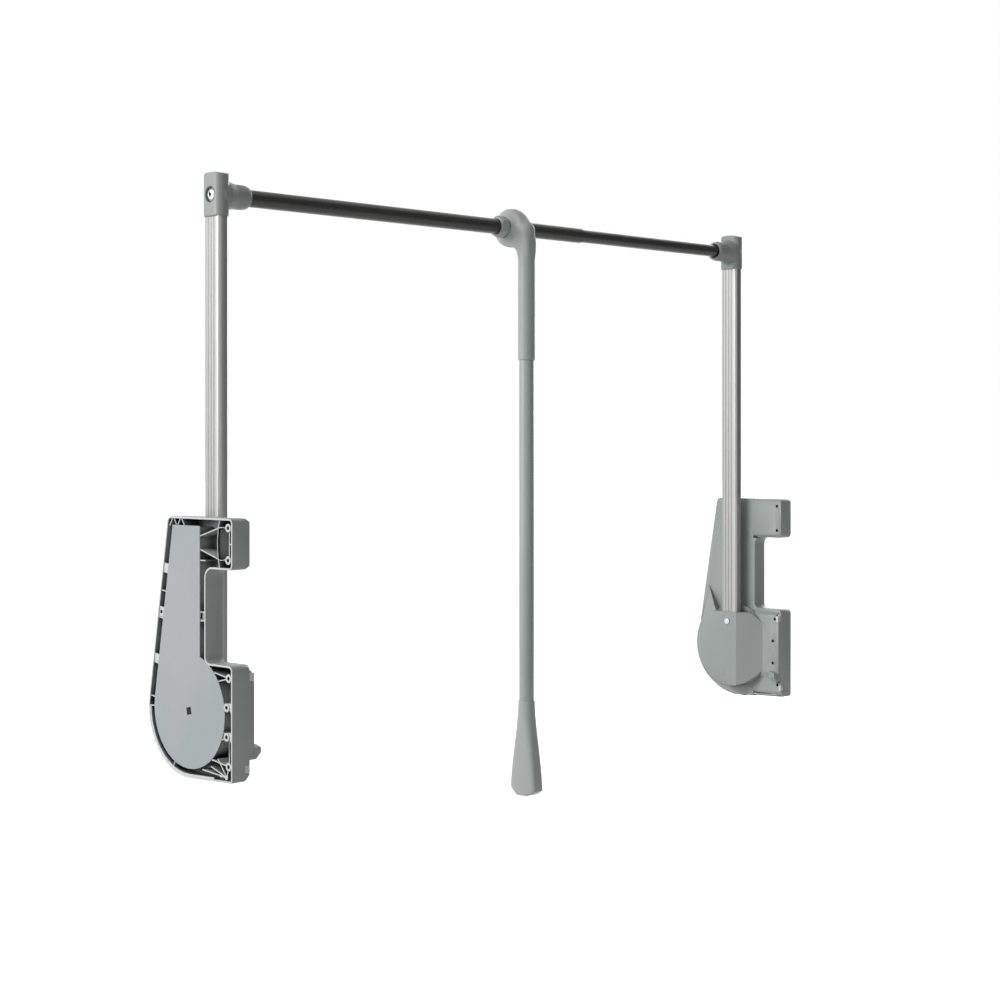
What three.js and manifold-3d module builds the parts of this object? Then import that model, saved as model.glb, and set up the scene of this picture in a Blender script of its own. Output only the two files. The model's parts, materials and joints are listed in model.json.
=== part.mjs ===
// A pull down closet rod. Two sprung housings screw to the side walls of a wardrobe, a flat oval arm
// swings on each, a telescopic rail joins the arms and a pull rod hangs from the rail.
// Units are millimetres. X runs along the rail from the left wall to the right wall, Y runs back into
// the wardrobe, so the front is -Y, and Z is up.
// One side is drawn about its own pivot: X is the distance from its wall. The right side is its mirror image.

import * as THREE from 'three';
import { mergeVertices } from 'three/addons/utils/BufferGeometryUtils.js';
import Module from 'manifold-3d';

const wasm = await Module();
wasm.setup();

const { degToRad, radToDeg } = THREE.MathUtils;

// Driving dimensions of the whole lift
const wallToWall = 1292;
const barHeight = 728; // rail axis above the pivots
const swingLimit = degToRad(105); // how far the arms come forward and down
const arcSag = 0.26; // how far a chord may lie off its arc
const mergeReach = 0.002; // points nearer than this are one
const overrun = 2; // how far a cut runs past what it cuts
const seatGap = 0.3; // between two pieces that seat on each other
const runningGap = 0.4; // between two pieces that turn or slide past each other

// Housing outline, seen from the wall side
const frontReach = 99; // front edge of both lugs, from the pivot
const roundReach = 94; // radius of the round bottom, about the pivot
const rearLean = degToRad(9.7); // lean of the rear edge
const bottomLean = degToRad(2); // lean of the bottom edge
const housingTop = 272;
const upperLugBottom = 201;
const lowerLugTop = 70;
const notchWallReach = 39;
const topFillet = 8;
const lugFillet = 7;
const footFillet = 4;
const notchUpperFillet = 13;
const notchLowerFillet = 8;

// Housing levels, measured from the wall
const plateLevel = 29;
const lugLevel = 30.5;
const flangeLevel = 38.5;
const roofThickness = 2.6;
const shellWall = 2.8;
const ribThickness = 1.8;
const ribSetback = 1.2; // rib edges below the rim
const lugStep = 35; // where the lugs' raised level starts, in front of the pivot
const rimBandWidth = 5.5; // thick rim round the lower rear
const rimBandHeight = 8;
const rimBandChamfer = 2;
const rimBandSetback = 0.4; // behind the wall's edge
const rimBandEnd = 58; // where the rim ends, in front of the pivot
const tabHeight = 14;
const tabDepth = 3.2;
const tabHole = 4.6; // square hole in the middle tab
const wideTabShares = [0.684, 0.449, 0.199]; // of the housing's height, along the rear edge
const rearRibShares = [0.563, 0.474, 0.419];
const spokeAngles = [9, 0, -66].map(degToRad);
const frontRibShares = [0.515, 0.471, 0.78]; // of the housing's height
const fanShares = [[0.66, 0.64], [0.5, 0.77], [0.31, 0.84]]; // ends of the fan ribs, of the two reaches
const fanHubShares = [0.86, 0.89];
const upperRibSetback = 29.5; // curved rib in the upper lug, from the lug's front edge
const upperRibBow = 4.5;
const upperDiagonalSpread = 8.5; // inner ends of the diagonals above and below the middle of the lug
const lineRibSetback = 8; // rib beside the lug's front wall
const topBraces = 4; // short braces over the cover plate, from the rear corner
const topBracePitch = 9;
const topBraceStart = 46; // behind the pivot
const channelBoxWidth = 5;

// Flange on the lower lug
const flangeTop = 60;
const flangeBottom = -46;
const flangeTopSlope = 6;
const flangeBottomSlope = 16;
const flangeBack = 38; // rear end of the flange, in front of the pivot
const lugChamfer = 5; // room side corners of the lugs
const footChamfer = 11;

// Screw bosses, as places in front of and above the pivot
const screwHoleRadius = 2.8;
const bossRadius = 6.2;
const flangeEndHoleInset = 8.4; // holes behind the lugs' front edge
const flangeMidHoleInset = 13;
const flangeHolePitch = 40.4;
const flangeHoleDrop = 68.5; // lowest hole below the pivot
const upperHoleInset = 9.5;
const upperHoleTop = 259;
const upperHolePitch = 44.5;

// Swinging boot
const discRadius = 75;
const discLevel = 36.5;
const bootTop = 62;
const crestReach = 21;
const crestLevel = 64;
const deckLevel = 62.2;
const crestWidth = 4;
const slopeInset = 13; // where the front slope meets the disc, inside the disc's edge
const deckBack = 37;
const domePower = 4; // how square the dome's section is
const domeSplit = 8; // where the round rear dome starts, behind the pivot
const facetFront = 73; // lower facet of the deck: its edge below the pivot at the crest
const facetRear = 57;
const facetRearReach = 12;
const facetSlope = degToRad(24);
const guardTopReach = 69; // top of the rear guard, behind and above the pivot
const guardTop = 107;
const guardFootReach = 43;
const guardRise = 12;
const guardBlend = 35; // over this height the ring falls to the guard's level
const rampFoot = 24; // where the raised ring starts to rise, in front of the pivot
const rampTop = 10; // and where it is full, behind the pivot
const hubRadius = 16.4;
const hubHexRadius = 12.6;
const gearBack = 9.5; // wall side of the gear
const gearWidth = 11;
const hubGap = 0.6; // hub end to the axle collar

// Pivot axle
const axleRadius = 6;
const axleSquare = 9.4;
const axleSquareTurn = degToRad(12);
const axleCollarRadius = 10;
const axleEndLevel = 34.6;
const bushWall = 1.8;
const ringWidth = 1.5;
const ringWall = 3;
const ringPocketRadius = 11;
const ringPocketLevel = 37.4;
const ringFromEnd = 0.8;

// Cover plate and the chamber behind it
const coverRadius = 81.3;
const coverTop = 260;
const neckFront = 25;
const coverThickness = 2;
const coverSetback = 0.8; // below the housing's rim
const coverSquareHole = 10.2;
const coverLap = 2; // how far the plate laps over the chamber wall
const chamberWall = 2.4;

// Gears and rack
const gearModule = 2.5;
const driveTeeth = 20;
const damperTeeth = 12;
const pressureAngle = degToRad(20);
const addendumShare = 0.8;
const dedendumShare = 1;
const backlash = 0.4;
const damperToothSteps = 8; // the damper sits this many drive teeth below the front
const rackBackReach = 36;
const rackBottom = -58;
const rackToothTop = 14;
const rackTop = 64;
const rackInset = 0.5; // rack edges inside the gear's width
const springHeadRadius = 10.5;
const springHeadHeight = 4;
const guideRodRadius = 4;
const guideRodLength = 70;
const railThickness = 2.4;
const railLevel = 8;

// Spring
const springReach = 31; // spring axis behind the pivot
const springLevel = 15; // spring axis from the wall
const springMeanRadius = 8.6;
const springWireRadius = 1.5;
const springCurls = 10;
const springSeatLevel = 192;
const springSeatHeight = 7;
const springSeatHalf = 11.5;
const spigotRadius = 5.6;
const spigotHeight = 5;
const seatWallThickness = 3;

// Damper and stops
const damperRadius = 17;
const damperShaftRadius = 4;
const damperEarLength = 8;
const damperEarWidth = 8;
const bumperHeight = 8;
const bumperWidth = 10;
const bumperShelf = 2.4;
const stopWidth = 12.5;
const stopFrontGap = 0.6;
const stopFootLap = 8; // how far the stop runs up past the flange's lower edge
const stopLevel = 51;
const stopBottom = -61.5;
const stopBottomSlope = 8.5;
const padWidth = 5.4;
const padBottom = 47;
const padTop = 58.5;
const footPadBottom = -79.5;
const footPadTop = -68.5;
const footPadDepth = 8;
const padRise = 0.6;

// Arm
const armInset = 49; // arm centre from the wall
const armWidth = 36;
const armThickness = 18;
const armCorner = 6;
const armWall = 1.8;
const fluteDepth = 0.6;
const fluteWidth = 2.4;
const flutePitch = 6.5;
const armFoot = 14; // lower end of the tube above the pivot
const bootScrewHeight = 45.5;
const bootScrewHeadRadius = 6;
const bootScrewHeadHeight = 3.2;
const bootScrewShankRadius = 2.4;
const bootScrewReach = 6;

// Top connector
const connectorWidth = 42;
const connectorThickness = 24;
const connectorCorner = 11;
const connectorDrop = 31.2; // lower edge below the rail axis
const connectorRise = 31.6; // crown above the rail axis
const crownDrop = 5;
const crownPower = 3;
const bossEndReach = 54; // end of the rail socket from the arm's centre
const socketRadius = 18;
const socketShoulderRadius = 22.5;
const shoulderEndReach = 28;
const socketTaper = 9;
const socketLipRadius = 14.2;
const recessRadius = 11.2;
const recessDepth = 5.5;
const connectorScrewHeadRadius = 8.4;
const connectorScrewHeadHeight = 5;
const connectorScrewShankRadius = 3;
const screwDomeShares = [[0, 0], [0.5, 0.04], [0.8, 0.17], [1, 0.45]]; // of the head's radius and height
const hexKeyRadius = 3.2;
const hexKeyDepth = 3;
const plugLength = 15;
const railStopWall = 3; // wall between the recess and the rail's end
const tubeTopGap = 1.6; // arm tube below the rail

// Rail
const outerRailRadius = 12.5;
const innerRailRadius = 10.9;
const railWall = 1.2;
const outerRailEnd = 821; // from the left wall
const railOverlap = 260;
const railSocketGap = 0.3;

// Pull rod
const handlePlace = 654.5; // centre of the pull rod's head from the left wall
const headRadius = 32;
const headWidth = 30;
const headBevel = 8;
const stemReach = 33; // stem axis in front of the rail axis
const sleeveRadius = 14.2;
const sleeveEnd = -218; // lower end of the sleeve, from the rail axis
const neckBottom = -50;
const webFillet = 14;
const browShares = [[0, 1], [0.38, 1], [0.85, 0.37], [1, -0.78]]; // of the front reach and the radius
const collarWall = 3;
const collarSetback = 4;
const hubRootRadius = 26; // cone round the rail on the head's left face
const hubLipRadius = 19.5;
const hubHeight = 6;
const nutRadius = 18.2; // six sided end of the collar, across its corners
const nutLength = 17;
const nutTipRadius = 15;
const nutTipLength = 3;
const stemRadius = 12.1;
const stemWall = 1.4;
const stemLap = 34; // how far the stem goes up into the sleeve and down into the grip
const gripTop = -772;
const gripLength = 154;
const gripNeckRadius = 13.4;
const gripWidth = 57;
const gripThickness = 26;
const gripEndDrop = 10;
const gripBackDrop = 16;
const gripEndShare = 0.36;
const gripFootPower = 5; // how square the foot's section is, where a round one has 2
const gripEarlySwellShare = 0.25; // part of the grip's widening that is even from the top

// Colours and finishes
const finishes = {
  greyPlastic: { color: 0xa3a9a7, roughness: 0.5, metalness: 0 },
  palePlastic: { color: 0xd2d4d0, roughness: 0.45, metalness: 0 },
  coverSteel: { color: 0xb0b4b5, roughness: 0.42, metalness: 0.2 },
  brightAluminium: { color: 0xd6d6d4, roughness: 0.3, metalness: 0.9 },
  darkRail: { color: 0x424242, roughness: 0.32, metalness: 0.7 },
  steel: { color: 0x8d9093, roughness: 0.35, metalness: 0.9 },
  darkSteel: { color: 0x2b2c2e, roughness: 0.4, metalness: 0.8 },
  chrome: { color: 0xe4e6e8, roughness: 0.12, metalness: 1 },
  rubber: { color: 0x1e1e1e, roughness: 0.85, metalness: 0 },
  handlePlastic: { color: 0xa2a7a5, roughness: 0.46, metalness: 0 },
  whitePlastic: { color: 0xe2e2dc, roughness: 0.5, metalness: 0 },
};

// Sizes that follow from the ones above
const roofInner = plateLevel - roofThickness; // underside of the housing's plate
const coverFace = coverSetback + coverThickness;
const chamberRim = coverFace + seatGap;
const wellRadius = discRadius + 2 * seatGap; // bore of the flange round the boot's disc
const slopeFoot = discRadius - slopeInset;
const upperRibFront = frontReach - upperRibSetback;
const lineRibReach = frontReach - lineRibSetback;
const gripBottom = gripTop - gripLength;
const driveRadius = gearModule * driveTeeth / 2;
const damperGearRadius = gearModule * damperTeeth / 2;
const gearFront = gearBack + gearWidth;
const toothPitch = Math.PI * gearModule;
const damperAngle = -damperToothSteps * 2 * Math.PI / driveTeeth;
const damperY = (driveRadius + damperGearRadius) * Math.cos(damperAngle);
const damperZ = (driveRadius + damperGearRadius) * Math.sin(damperAngle);
const springHeadTop = rackTop + springHeadHeight;
const connectorOutside = armInset - connectorThickness / 2;
const railStart = connectorOutside + recessDepth + railStopWall;
const armTop = barHeight - outerRailRadius - tubeTopGap;
const innerRailStart = outerRailEnd - railOverlap;

// Turns a shape drawn in Y and Z into a slab between two distances from the wall
const acrossWall = new THREE.Matrix4().makeBasis(
  new THREE.Vector3(0, 1, 0),
  new THREE.Vector3(0, 0, 1),
  new THREE.Vector3(1, 0, 0),
);

function solid(geometry) {
  const bare = new THREE.BufferGeometry();
  bare.setAttribute('position', geometry.getAttribute('position'));
  bare.setIndex(geometry.index);
  const merged = mergeVertices(bare, mergeReach);
  const triVerts = new Uint32Array(merged.index.array);
  const vertProperties = merged.attributes.position.array;
  const made = new wasm.Manifold(new wasm.Mesh({ numProp: 3, vertProperties, triVerts }));
  if (made.volume() >= 0) return made;
  const turnedOver = triVerts.slice().reverse();
  return new wasm.Manifold(new wasm.Mesh({ numProp: 3, vertProperties, triVerts: turnedOver }));
}

function geometryOf(body) {
  const mesh = body.getMesh();
  const geometry = new THREE.BufferGeometry();
  geometry.setAttribute('position', new THREE.BufferAttribute(mesh.vertProperties, 3));
  geometry.setIndex(new THREE.BufferAttribute(mesh.triVerts, 1));
  return geometry;
}

function join(bodies) {
  return bodies.reduce((whole, body) => whole.add(body));
}

function cut(body, tools) {
  return tools.reduce((rest, tool) => rest.subtract(tool), body);
}

function arcSteps(radius, sweep) {
  const step = 2 * Math.acos(Math.max(0, 1 - arcSag / radius));
  return Math.max(2, Math.ceil(Math.abs(sweep) / step));
}

function arc(centreX, centreY, radius, from, to) {
  const steps = arcSteps(radius, to - from);
  return Array.from({ length: steps + 1 }, (_, i) => {
    const angle = from + (to - from) * i / steps;
    return new THREE.Vector2(centreX + radius * Math.cos(angle), centreY + radius * Math.sin(angle));
  });
}

// Rounded outline whose sides are lines: each has its outward direction, its reach from the origin and
// the fillet of the corner that follows it. A positive inset draws the same outline further in.
function sidedOutline(sides, inset = 0) {
  return sides.flatMap((side, i) => {
    const next = sides[(i + 1) % sides.length];
    const reach = side.reach - inset;
    const nextReach = next.reach - inset;
    const turn = Math.atan2(Math.sin(next.facing - side.facing), Math.cos(next.facing - side.facing));
    const along = (nextReach - reach * Math.cos(turn)) / Math.sin(turn);
    const out = new THREE.Vector2(Math.cos(side.facing), Math.sin(side.facing));
    const ahead = new THREE.Vector2(-out.y, out.x);
    const bend = Math.sign(turn);
    const fillet = Math.max(arcSag, side.fillet - bend * inset);
    const start = ahead.clone().multiplyScalar(along - fillet * Math.tan(Math.abs(turn) / 2));
    const centre = start.add(out.clone().multiplyScalar(reach - bend * fillet));
    const opening = bend > 0 ? side.facing : side.facing + Math.PI;
    return arc(centre.x, centre.y, fillet, opening, opening + turn);
  });
}

const facing = { front: Math.PI, rear: rearLean, top: Math.PI / 2, down: -Math.PI / 2 };

const housingSides = [
  { facing: facing.down - bottomLean, reach: roundReach, fillet: roundReach },
  { facing: facing.rear, reach: roundReach, fillet: topFillet },
  { facing: facing.top, reach: housingTop, fillet: lugFillet },
  { facing: facing.front, reach: frontReach, fillet: lugFillet },
  { facing: facing.down, reach: -upperLugBottom, fillet: notchUpperFillet },
  { facing: facing.front, reach: notchWallReach, fillet: notchLowerFillet },
  { facing: facing.top, reach: lowerLugTop, fillet: topFillet },
  { facing: facing.front, reach: frontReach, fillet: footFillet },
];

// Keyhole outline: a disc about the pivot with a neck that runs up to the top
function keyhole(inset) {
  const radius = coverRadius - inset;
  const front = neckFront - inset;
  const top = coverTop - inset;
  const rearTop = (radius - top * Math.sin(rearLean)) / Math.cos(rearLean);
  return [
    ...arc(0, 0, radius, Math.acos(-front / radius), 2 * Math.PI + rearLean),
    new THREE.Vector2(rearTop, top),
    new THREE.Vector2(-front, top),
  ];
}

function slabGeometry(outline, low, high, holes = []) {
  const shape = new THREE.Shape(outline);
  shape.holes = holes.map((hole) => new THREE.Path(hole));
  const geometry = new THREE.ExtrudeGeometry(shape, { depth: high - low, bevelEnabled: false });
  return geometry.applyMatrix4(acrossWall).translate(low, 0, 0);
}

function slab(outline, low, high, holes) {
  return solid(slabGeometry(outline, low, high, holes));
}

// Box from its low corner to its high corner
function block(low, high) {
  const size = high.map((value, i) => value - low[i]);
  const middle = high.map((value, i) => (value + low[i]) / 2);
  return solid(new THREE.BoxGeometry(...size).translate(...middle));
}

// Body turned about a line along X; the profile is a list of [radius, distance from the wall]
function turned(profile, y = 0, z = 0) {
  const points = profile.map(([radius, level]) => new THREE.Vector2(radius, level));
  const widest = Math.max(...profile.map(([radius]) => radius));
  const geometry = new THREE.LatheGeometry([...points, points[0]], arcSteps(widest, 2 * Math.PI));
  return solid(geometry.rotateZ(-Math.PI / 2).translate(0, y, z));
}

function drum(radius, low, high, y = 0, z = 0) {
  return turned([[0, low], [radius, low], [radius, high], [0, high]], y, z);
}

function ringDrum(inner, outer, low, high, y = 0, z = 0) {
  return turned([[inner, low], [outer, low], [outer, high], [inner, high]], y, z);
}

// Upright body turned about a line along Z; the profile is a list of [radius, height]
function upright(profile, x, y) {
  const points = profile.map(([radius, height]) => new THREE.Vector2(radius, height));
  const widest = Math.max(...profile.map(([radius]) => radius));
  const geometry = new THREE.LatheGeometry([...points, points[0]], arcSteps(widest, 2 * Math.PI));
  return solid(geometry.rotateX(Math.PI / 2).translate(x, y, 0));
}

function roundedRectangle(width, depth, corner, inset = 0) {
  return sidedOutline([
    { facing: 0, reach: width / 2, fillet: corner },
    { facing: facing.top, reach: depth / 2, fillet: corner },
    { facing: facing.front, reach: width / 2, fillet: corner },
    { facing: facing.down, reach: depth / 2, fillet: corner },
  ], inset);
}

// Upright prism of an outline drawn in X and Y
function upstanding(outline, x, y, low, high) {
  const shape = new THREE.Shape(outline);
  const geometry = new THREE.ExtrudeGeometry(shape, { depth: high - low, bevelEnabled: false });
  return solid(geometry.translate(x, y, low));
}

// Prism along Z of an outline drawn as [Y, distance from the wall]
function ridge(outline, low, high) {
  const points = outline.map(([y, level]) => new THREE.Vector2(level, y));
  return upstanding(points, 0, 0, low, high);
}

// Prism along Y of an outline drawn as [Z, distance from the wall]
function sill(outline, low, high) {
  const shape = new THREE.Shape(outline.map(([z, level]) => new THREE.Vector2(level, z)));
  const geometry = new THREE.ExtrudeGeometry(shape, { depth: high - low, bevelEnabled: false });
  return solid(geometry.rotateX(Math.PI / 2).translate(0, high, 0));
}

// Thin upright wall from one point to another, both given as [Y, Z]
function rib(from, to, low = ribSetback, high = roofInner + overrun, thickness = ribThickness) {
  const start = new THREE.Vector2(...from);
  const end = new THREE.Vector2(...to);
  const run = end.clone().sub(start);
  const side = new THREE.Vector2(-run.y, run.x).normalize().multiplyScalar(thickness / 2);
  return slab([
    start.clone().sub(side),
    end.clone().sub(side),
    end.clone().add(side),
    start.clone().add(side),
  ], low, high);
}

// Thin upright wall along an arc in Y and Z
function curvedRib([y, z], radius, from, to) {
  const outside = arc(y, z, radius + ribThickness / 2, from, to);
  const inside = arc(y, z, radius - ribThickness / 2, to, from);
  return slab([...outside, ...inside], ribSetback, roofInner + overrun);
}

// A point given by a direction about the pivot and a distance
function polar(angle, distance) {
  return [distance * Math.cos(angle), distance * Math.sin(angle)];
}

// A point of the leaning rear edge: its distance from the pivot's own line and its place along the edge
function rearPoint(reach, along) {
  const [y, z] = polar(rearLean, reach);
  return [y - along * Math.sin(rearLean), z + along * Math.cos(rearLean)];
}

// Level of the round dome at a distance from the pivot: flat in the middle, and steep where it runs out
// at the housing's edge
function domeLevel(radius) {
  const share = Math.max(0, (radius - deckBack) / (roundReach - deckBack));
  return plateLevel + (deckLevel - plateLevel) * (1 - share ** domePower);
}

function domeProfile(inner, outer, foot) {
  const steps = 4;
  const edge = Array.from({ length: steps + 1 }, (_, i) => {
    const radius = outer + (inner - outer) * i / steps;
    return [radius, domeLevel(radius)];
  });
  return [[inner, foot], [outer, foot], ...edge];
}

// Screw places as [Y, Z]
const flangeScrews = [0, 1, 2, 3].map((row) => [
  (row % 3 === 0 ? flangeEndHoleInset : flangeMidHoleInset) - frontReach,
  flangeHolePitch * row - flangeHoleDrop,
]);
const upperScrews = [0, 1].map((row) => [upperHoleInset - frontReach, upperHoleTop - upperHolePitch * row]);
const screwPlaces = [...flangeScrews, ...upperScrews];

// Section of the raised flange as [Z, level]; an inset draws its hollow
function flangeSection(inset, foot) {
  const level = flangeLevel - inset;
  return [
    [flangeBottom - flangeBottomSlope + inset, foot],
    [flangeBottom + inset / 2, level],
    [flangeTop - inset, level],
    [flangeTop + flangeTopSlope - inset, foot],
  ];
}

// Wedge that takes a sloping corner off a lug: edge is its end, inward points along Z into the lug
function cornerCut(edge, inward, depth, drop) {
  const reach = depth + overrun;
  const slope = drop / depth;
  return sill([
    [edge - inward * overrun, lugLevel - drop - overrun * slope],
    [edge + inward * reach, lugLevel + overrun * slope],
    [edge - inward * overrun, lugLevel + overrun * slope],
  ], -frontReach - overrun, -lugStep);
}

// Three cornered wedge on the plate; each corner is [Y, Z, level]
function wedge(corners, foot) {
  const low = corners.flatMap(([y, z]) => [foot, y, z]);
  const high = corners.flatMap(([y, z, level]) => [level, y, z]);
  const geometry = new THREE.BufferGeometry();
  geometry.setAttribute('position', new THREE.Float32BufferAttribute([...low, ...high], 3));
  geometry.setIndex([0, 2, 1, 3, 4, 5, 0, 1, 4, 0, 4, 3, 1, 2, 5, 1, 5, 4, 2, 0, 3, 2, 3, 5]);
  return solid(geometry);
}

// Raised ring round the rear of the boot. It carries the boot's dome on to the housing's edge, falls to the
// plate under the boot, and ends above it in a guard that runs out on the plate.
function rearRaisedPart() {
  const foot = roofInner + overrun / 2;
  const far = 2 * roundReach;
  const guardLine = Math.atan2(bootTop, guardFootReach);
  const sector = [
    [0, 0], [-rampFoot, 0], [-rampFoot, -far], [far, -far], [far, 0], polar(guardLine, far),
  ].map(([y, z]) => new THREE.Vector2(y, z));
  const frontRamp = ridge([
    [-rampFoot, foot], [-rampFoot, plateLevel], [rampTop, deckLevel], [far, deckLevel], [far, foot],
  ], -far, far);
  const guardRamp = sill([
    [-far, foot], [-far, deckLevel], [bootTop - guardBlend, deckLevel],
    [bootTop, plateLevel + guardRise], [guardTop, plateLevel], [guardTop, foot],
  ], -far, far);
  const ring = turned(domeProfile(wellRadius, roundReach + overrun, foot))
    .intersect(slab(sector, 0, deckLevel));
  const guard = wedge([
    [guardTopReach, guardTop, plateLevel],
    [guardFootReach, bootTop, plateLevel + guardRise],
    [roundReach, 0, plateLevel],
  ], foot);
  return ring.intersect(frontRamp).add(guard).intersect(guardRamp)
    .intersect(slab(sidedOutline(housingSides), 0, deckLevel))
    .subtract(drum(wellRadius, plateLevel, deckLevel));
}

// Walls and tabs that cross the channels between the chamber and the outer wall
function channelRibs() {
  const inner = coverRadius + seatGap;
  const outer = roundReach - shellWall / 2;
  const chamberEdge = coverRadius - coverLap - chamberWall / 2;
  const chamberFront = coverLap + chamberWall / 2 - neckFront;
  const tab = (along) => rib(
    rearPoint(inner, along), rearPoint(outer, along), ribSetback, ribSetback + tabDepth, tabHeight,
  );
  const tabWindow = (along) => rib(
    rearPoint((inner + outer - tabHole) / 2, along), rearPoint((inner + outer + tabHole) / 2, along),
    0, ribSetback + 2 * tabDepth, tabHole,
  );
  const thin = (along) => rib(rearPoint(chamberEdge, along), rearPoint(outer, along));
  const spoke = (angle) => rib(polar(angle, chamberEdge), polar(angle, outer));
  const notchWall = shellWall / 2 - notchWallReach;
  const bar = (z) => rib([chamberFront, z], [notchWall, z]);
  const channelMiddle = (chamberFront + notchWall) / 2;
  const boxPosts = [channelMiddle + channelBoxWidth / 2, channelMiddle - channelBoxWidth / 2];
  const [boxTop, boxFoot] = frontRibShares.map((share) => share * housingTop);
  const braceFoot = coverTop - coverLap;
  const brace = (i) => rib(
    [topBraceStart - i * topBracePitch, i % 2 ? housingTop : braceFoot],
    [topBraceStart - (i + 1) * topBracePitch, i % 2 ? braceFoot : housingTop],
  );
  const [topTab, middleTab, lowTab] = wideTabShares.map((share) => share * housingTop);
  return [
    tab(topTab), tab(middleTab).subtract(tabWindow(middleTab)), tab(lowTab),
    ...boxPosts.map((y) => rib([y, boxFoot], [y, boxTop])),
    ...Array.from({ length: topBraces }, (_, i) => brace(i)),
    ...rearRibShares.map((share) => thin(share * housingTop)),
    ...spokeAngles.map(spoke),
    ...frontRibShares.map((share) => bar(share * housingTop)),
  ];
}

// Ribs of the two lugs: diagonals, uprights beside the bosses and the fan at the foot
function lugRibs() {
  const chamberFront = coverLap + chamberWall / 2 - neckFront;
  const frontWall = shellWall / 2 - frontReach;
  const [topBoss, lowBoss] = upperScrews;
  const lugMiddle = (topBoss[1] + lowBoss[1]) / 2;
  const upright = -upperRibFront;
  const halfLug = (housingTop - upperLugBottom) / 2;
  const bowRadius = (halfLug ** 2 + upperRibBow ** 2) / (2 * upperRibBow);
  const bowTurn = Math.asin(halfLug / bowRadius);
  const bowCentre = [upright + upperRibBow - bowRadius, (housingTop + upperLugBottom) / 2];
  const upper = [
    rib([chamberFront, lugMiddle + upperDiagonalSpread], [upright, topBoss[1]]),
    rib([chamberFront, lugMiddle - upperDiagonalSpread], [upright, lowBoss[1]]),
    curvedRib(bowCentre, bowRadius, -bowTurn, bowTurn),
    rib([upright, topBoss[1]], [topBoss[0], topBoss[1]]),
    rib([upright, lowBoss[1]], [lowBoss[0], lowBoss[1]]),
    rib([-lineRibReach, lowBoss[1]], [-lineRibReach, topBoss[1]]),
    rib([-lineRibReach, lugMiddle], [frontWall, lugMiddle]),
  ];
  const chamberReach = coverRadius - coverLap;
  const chamberOf = (z) => [-Math.sqrt(Math.max(0, chamberReach ** 2 - z * z)), z];
  const gussets = flangeScrews.slice(1, 3).map(([y, z]) => slab([
    [y, z + bossRadius], [frontWall, z + bossRadius], [frontWall, z - 2 * bossRadius],
  ].map(([across, up]) => new THREE.Vector2(across, up)), ribSetback, roofInner + overrun));
  const zigzag = flangeScrews.flatMap(([y, z], row) => [
    rib([y, z], chamberOf(z + bossRadius)),
    rib([y, z], [frontWall, z - bossRadius]),
    ...(row > 0 ? [rib([y, z], chamberOf(z - bossRadius))] : []),
  ]);
  const hub = [-fanHubShares[0] * frontReach, -fanHubShares[1] * roundReach];
  const fan = fanShares.map(([front, down]) => rib(hub, [-front * frontReach, -down * roundReach]));
  const post = drum(2 * ribThickness, ribSetback / 2, roofInner + overrun / 2, ...hub);
  const lowScrew = flangeScrews[0];
  return [
    ...upper, ...zigzag, ...gussets, ...fan, post,
    rib(lowScrew, hub),
    rib([-lineRibReach, lowScrew[1]], [-lineRibReach, flangeScrews[1][1]]),
  ];
}

// Chamber wall under the cover plate, spring seat wall, rack rail and bumper shelf
function chamber() {
  const outer = keyhole(coverLap);
  const inner = keyhole(coverLap + chamberWall);
  const wall = slab(outer, 0, roofInner + overrun, [inner]);
  const seatWallFoot = springSeatLevel + springSeatHeight + seatGap;
  const seatWall = block(
    [0, -neckFront, seatWallFoot],
    [roofInner + overrun, coverRadius, seatWallFoot + seatWallThickness],
  );
  const railFoot = rackBackReach + runningGap;
  const rail = block(
    [railLevel, railFoot, rackBottom],
    [roofInner + overrun, railFoot + railThickness, rackTop - springHeadRadius],
  );
  const shelfTop = rackBottom - bumperHeight - 2 * seatGap;
  const shelf = block(
    [railLevel, driveRadius - bumperWidth / 2, shelfTop - bumperShelf],
    [roofInner + overrun, rackBackReach + railThickness, shelfTop],
  );
  const inside = slab(keyhole(coverLap + chamberWall / 2), 0, plateLevel);
  return [wall, ...[seatWall, rail, shelf].map((piece) => piece.intersect(inside))];
}

// Thick rim along the round lower rear edge and the bottom
function rimBand() {
  const outer = sidedOutline(housingSides, shellWall / 2);
  const inner = (inset) => sidedOutline(housingSides, inset);
  const region = block([-overrun, -rimBandEnd, -2 * roundReach], [plateLevel, 2 * roundReach, 0]);
  return slab(outer, rimBandSetback, rimBandHeight - rimBandChamfer, [inner(rimBandWidth)])
    .add(slab(outer, rimBandHeight / 2, rimBandHeight, [inner(rimBandWidth - rimBandChamfer)]))
    .intersect(region);
}

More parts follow.
